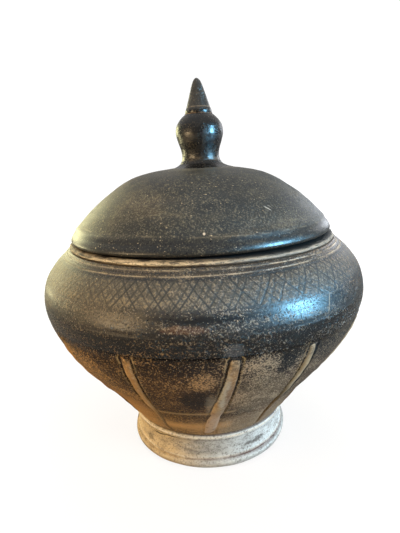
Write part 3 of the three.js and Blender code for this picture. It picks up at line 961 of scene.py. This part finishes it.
def on_lid(shape, aside=0.0, up=0.0):
    """Moves a shape, made with the lid's rim at height 0, to its place on the tilted lid."""
    points, quads, triangles = shape
    turn = np.array(Matrix.Rotation(-LID_TILT, 3, "Y"))
    placed = (points + np.array([aside, 0, up])) @ turn.T + np.array([0, 0, LID_SEAT])
    return placed, quads, triangles


def lid_outside():
    return [
        (LID_RIM_RADIUS, 2.4), (79.6, 5.0), (76.9, 8.5), (68.1, 17.6), (58, 25.7), (44, 34.2), (30, 38.3),
        (15, LID_RISE - 0.3), (0, LID_RISE),
    ]


def make_lid():
    inside = [
        (0, LID_RISE - WALL), (27, 32.2), (41.5, 28.1), (54, 20.6), (63.5, 13), (71.5, 4.5), (73.4, 0.8),
    ]
    rows = outline(
        (inside, 5, 0.0),
        ([(73.4, 0.8), (74.4, 0), (78.2, 0)], 1.5, 0.0),
        ([(78.2, 0), (79.9, 0.4), (80.7, 1.3), (LID_RIM_RADIUS, 2.4)], 0.5, 1.0),
        (lid_outside(), 1.3, 1.0),
    )

    def relief(bearing, rise):
        push = 0.22 * waves(51, bearing, rise, 3, 60) + 0.07 * waves(52, bearing, rise, 8, 10)
        push = push + 0.03 * waves(53, bearing, rise, 2, 1.8)
        push = push + 0.3 * line(rise - 8.4 - 0.3 * np.sin(2 * bearing), 1.5)
        push = push - 0.28 * line(rise - 6.2, 2.4) - 0.25
        return push * smoothstep(LID_RISE, LID_RISE - 0.6, rise)

    shape, worked = turned(rows, 640, relief)
    from_knob = np.hypot(shape[0][:, 0] - KNOB_OFFSET, shape[0][:, 1])
    attributes = {"worked": worked, "knob_distance": from_knob}
    material = lid_material()
    new_piece("lid_clay", on_lid(shape), "lid", "lid_dome", material, attributes)


def make_flange():
    bore = FLANGE_RADIUS - 6
    rows = outline(
        ([(bore + 1.4, -FLANGE_DEPTH), (FLANGE_RADIUS - 1.4, -FLANGE_DEPTH)], 1.5, 0.3),
        ([(FLANGE_RADIUS - 1.4, -FLANGE_DEPTH), (FLANGE_RADIUS - 0.3, 0.5 - FLANGE_DEPTH),
          (FLANGE_RADIUS, 2 - FLANGE_DEPTH), (FLANGE_RADIUS, 9.6)], 0.8, 0.6),
        ([(FLANGE_RADIUS, 9.6), (bore, 15)], 2, 0.0),
        ([(bore, 15), (bore, 2 - FLANGE_DEPTH), (bore + 0.3, 0.5 - FLANGE_DEPTH),
          (bore + 1.4, -FLANGE_DEPTH)], 0.8, 0.6),
    )

    def relief(bearing, height):
        return 0.15 * waves(55, bearing, height, 5, 20) + 0.06 * waves(56, bearing, height, 2, 2.5) - 0.1

    shape, _ = turned(rows, 360, relief)
    new_piece("flange_clay", on_lid(shape), "lid", "lid_flange", plain_material())


def make_knob():
    def relief(bearing, height):
        return 0.16 * waves(57, bearing, height, 3, 24) + 0.03 * waves(58, bearing, height, 3, 2) - 0.1

    bulb = outline(
        ([(0, -2.4), (20.6, -2.4)], 5, 0.0),
        ([(20.6, -2.4), (20.4, -1.25), (17.2, -0.35), (14.4, 0.8), (13.3, 1.6)], 0.4, 1.0),
        ([(13.3, 1.6), (12.9, 1.8), (12.7, 2.4), (11.9, 3.6), (11.5, 6.0), (12.0, 9.6), (13.6, 14.4),
          (14.6, 19.4), (14.0, 23.8), (12.3, 26.9), (10.3, 29.2), (9.0, 30.3)], 0.4, 1.0),
        ([(9.0, 30.3), (8.4, 30.6), (8.5, BULB_HEIGHT)], 0.2, 1.0),
        ([(8.5, BULB_HEIGHT), (0, BULB_HEIGHT)], 3, 0.0),
    )
    tip = outline(
        ([(0, BULB_HEIGHT - 0.4), (7.8, BULB_HEIGHT - 0.4)], 3, 0.0),
        ([(7.8, BULB_HEIGHT - 0.4), (8.3, BULB_HEIGHT + 0.1), (8.2, 32.6), (7.3, 34.8), (5.9, 39),
          (4.6, 43), (3.5, 46.4), (2.3, 49.2), (1.1, 50.6), (0, BULB_HEIGHT + TIP_HEIGHT + 0.3)],
         0.4, 1.0),
    )
    material = knob_material()
    for name, rows, node in (("knob_bulb_clay", bulb, "knob_bulb"), ("knob_tip_clay", tip, "knob_tip")):
        shape, _ = turned(rows, 240, relief)
        shape = on_lid(shape, KNOB_OFFSET, LID_RISE)
        new_piece(name, shape, "lid", node, material)


# --- Stage, lights and camera -----------------------------------------------------------------------

FLOOR_REACH = 4.0
BACKDROP_GLOW = 1.05


def make_stage():
    """A wide pale floor, as white to the camera as the surroundings, which sheds less on the jar."""
    around = np.linspace(TURN, 0, 64, endpoint=False)
    points = [(FLOOR_REACH * math.sin(a), FLOOR_REACH * math.cos(a), 0) for a in around]
    mesh = bpy.data.meshes.new("floor")
    mesh.from_pydata(points, [], [tuple(range(64))])
    floor_piece = bpy.data.objects.new("floor", mesh)
    bpy.context.scene.collection.objects.link(floor_piece)
    material = bpy.data.materials.new("floor")
    material.use_nodes = True
    shader = material.node_tree.nodes["Principled BSDF"]
    shader.inputs["Base Color"].default_value = (0.2, 0.2, 0.2, 1)
    shader.inputs["Roughness"].default_value = 1.0
    shader.inputs["Specular IOR Level"].default_value = 0.0
    shader.inputs["Emission Color"].default_value = (1, 1, 1, 1)
    tree = material.node_tree
    seen = Socket(tree, tree.nodes.new("ShaderNodeLightPath").outputs["Is Camera Ray"])
    away = tree.nodes.new("ShaderNodeVectorMath")
    away.operation = "LENGTH"
    tree.links.new(tree.nodes.new("ShaderNodeTexCoord").outputs["Object"], away.inputs[0])
    distance = Socket(tree, away.outputs["Value"])
    glow = 0.8 + (BACKDROP_GLOW - 0.8) * smoothstep(0.1, 0.7, distance)
    connect(tree, shader.inputs["Emission Strength"], seen * glow)
    mesh.materials.append(material)


def make_light(name, bearing, elevation, distance, width, height, colour, watts, shine=True, shade=True):
    """A soft panel seen from the jar at a bearing and elevation in degrees, facing it.

    shine is whether it shows in the gloss, and shade whether it lights the clay itself.
    """
    centre = Vector((0, 0, 0.11))
    b, e = math.radians(bearing), math.radians(elevation)
    way = Vector((math.sin(b) * math.cos(e), -math.cos(b) * math.cos(e), math.sin(e)))
    data = bpy.data.lights.new(name, "AREA")
    data.shape = "RECTANGLE"
    data.size, data.size_y = width, height
    data.color = colour
    data.energy = watts
    lamp = bpy.data.objects.new(name, data)
    lamp.location = centre + way * distance
    lamp.rotation_mode = "QUATERNION"
    lamp.rotation_quaternion = way.to_track_quat("Z", "Y")
    lamp.visible_glossy = shine
    lamp.visible_diffuse = shade
    lamp.visible_camera = False
    bpy.context.scene.collection.objects.link(lamp)


def make_world():
    """White surroundings. What they shed on the jar is brightest overhead and dim from the front."""
    world = bpy.data.worlds.new("studio")
    world.use_nodes = True
    tree = world.node_tree
    split = tree.nodes.new("ShaderNodeSeparateXYZ")
    tree.links.new(tree.nodes.new("ShaderNodeTexCoord").outputs["Generated"], split.inputs[0])
    back, up = Socket(tree, split.outputs[1]), Socket(tree, split.outputs[2])
    glow = smoothstep(0.05, 0.95, up) * 0.5 + smoothstep(-0.2, 0.9, back) * 0.2 + 0.2
    seen = Socket(tree, tree.nodes.new("ShaderNodeLightPath").outputs["Is Camera Ray"])
    shell = tree.nodes["Background"]
    shell.inputs["Color"].default_value = (1, 1, 1, 1)
    connect(tree, shell.inputs["Strength"], larger(glow, seen * BACKDROP_GLOW))
    bpy.context.scene.world = world


def make_lights():
    make_world()
    make_light("overhead", 150, 74, 1.4, 1.2, 1.2, (1.0, 0.97, 0.9), 7, shine=False)
    make_light("ceiling", 150, 74, 1.4, 1.2, 1.2, (1.0, 0.96, 0.8), 1.6, shade=False)
    make_light("window", 61, 12, 1.1, 0.24, 0.4, (0.26, 0.66, 1.0), 46, shade=False)
    make_light("window_fill", 60, 12, 1.2, 0.6, 0.6, (0.94, 0.98, 1.0), 15, shine=False)
    make_light("doorway", 138, 14, 1.3, 0.3, 0.5, (0.86, 0.92, 1.0), 2.5)
    make_light("lamp", -74, 28, 1.2, 0.5, 0.5, (1.0, 0.82, 0.56), 7, shine=False)
    make_light("lamp_glow", -74, 28, 1.2, 0.5, 0.5, (1.0, 0.86, 0.6), 2.6, shade=False)
    make_light("hearth", -56, 4, 1.2, 0.6, 0.3, (1.0, 0.72, 0.4), 9)
    make_light("table", -117, 0, 0.6, 0.16, 0.12, (1.0, 0.9, 0.5), 0.6, shade=False)
    make_light("garden", -138, 12, 1.3, 0.6, 0.45, (1.0, 0.95, 0.5), 6)


def make_camera():
    """A phone held about a quarter of a metre away, a little above the jar and not quite level."""
    distance, height, pitch, yaw, roll = 250.45, 179.75, 0.254, -0.0061, -0.0509
    ahead = Vector((math.sin(yaw) * math.cos(pitch), math.cos(yaw) * math.cos(pitch), -math.sin(pitch)))
    level = Vector((math.cos(yaw), -math.sin(yaw), 0))
    upright = level.cross(ahead)
    right = level * math.cos(roll) + upright * math.sin(roll)
    up = upright * math.cos(roll) - level * math.sin(roll)
    data = bpy.data.cameras.new("camera")
    data.sensor_width = 36
    data.lens = 26.0
    data.clip_start = 0.01
    camera = bpy.data.objects.new("camera", data)
    turn = Matrix((right, up, -ahead)).transposed().to_4x4()
    camera.matrix_world = Matrix.Translation(Vector((0, -distance, height)) * MM) @ turn
    bpy.context.scene.collection.objects.link(camera)
    bpy.context.scene.camera = camera


def main():
    make_foot()
    make_bowl()
    make_shoulder()
    make_collar()
    rib_clay = rib_material()
    for node in RIB_NODES:
        make_rib(node, rib_clay)
    make_lid()
    make_flange()
    make_knob()
    make_stage()
    make_lights()
    make_camera()
    bpy.context.scene.view_settings.view_transform = "Standard"


main()
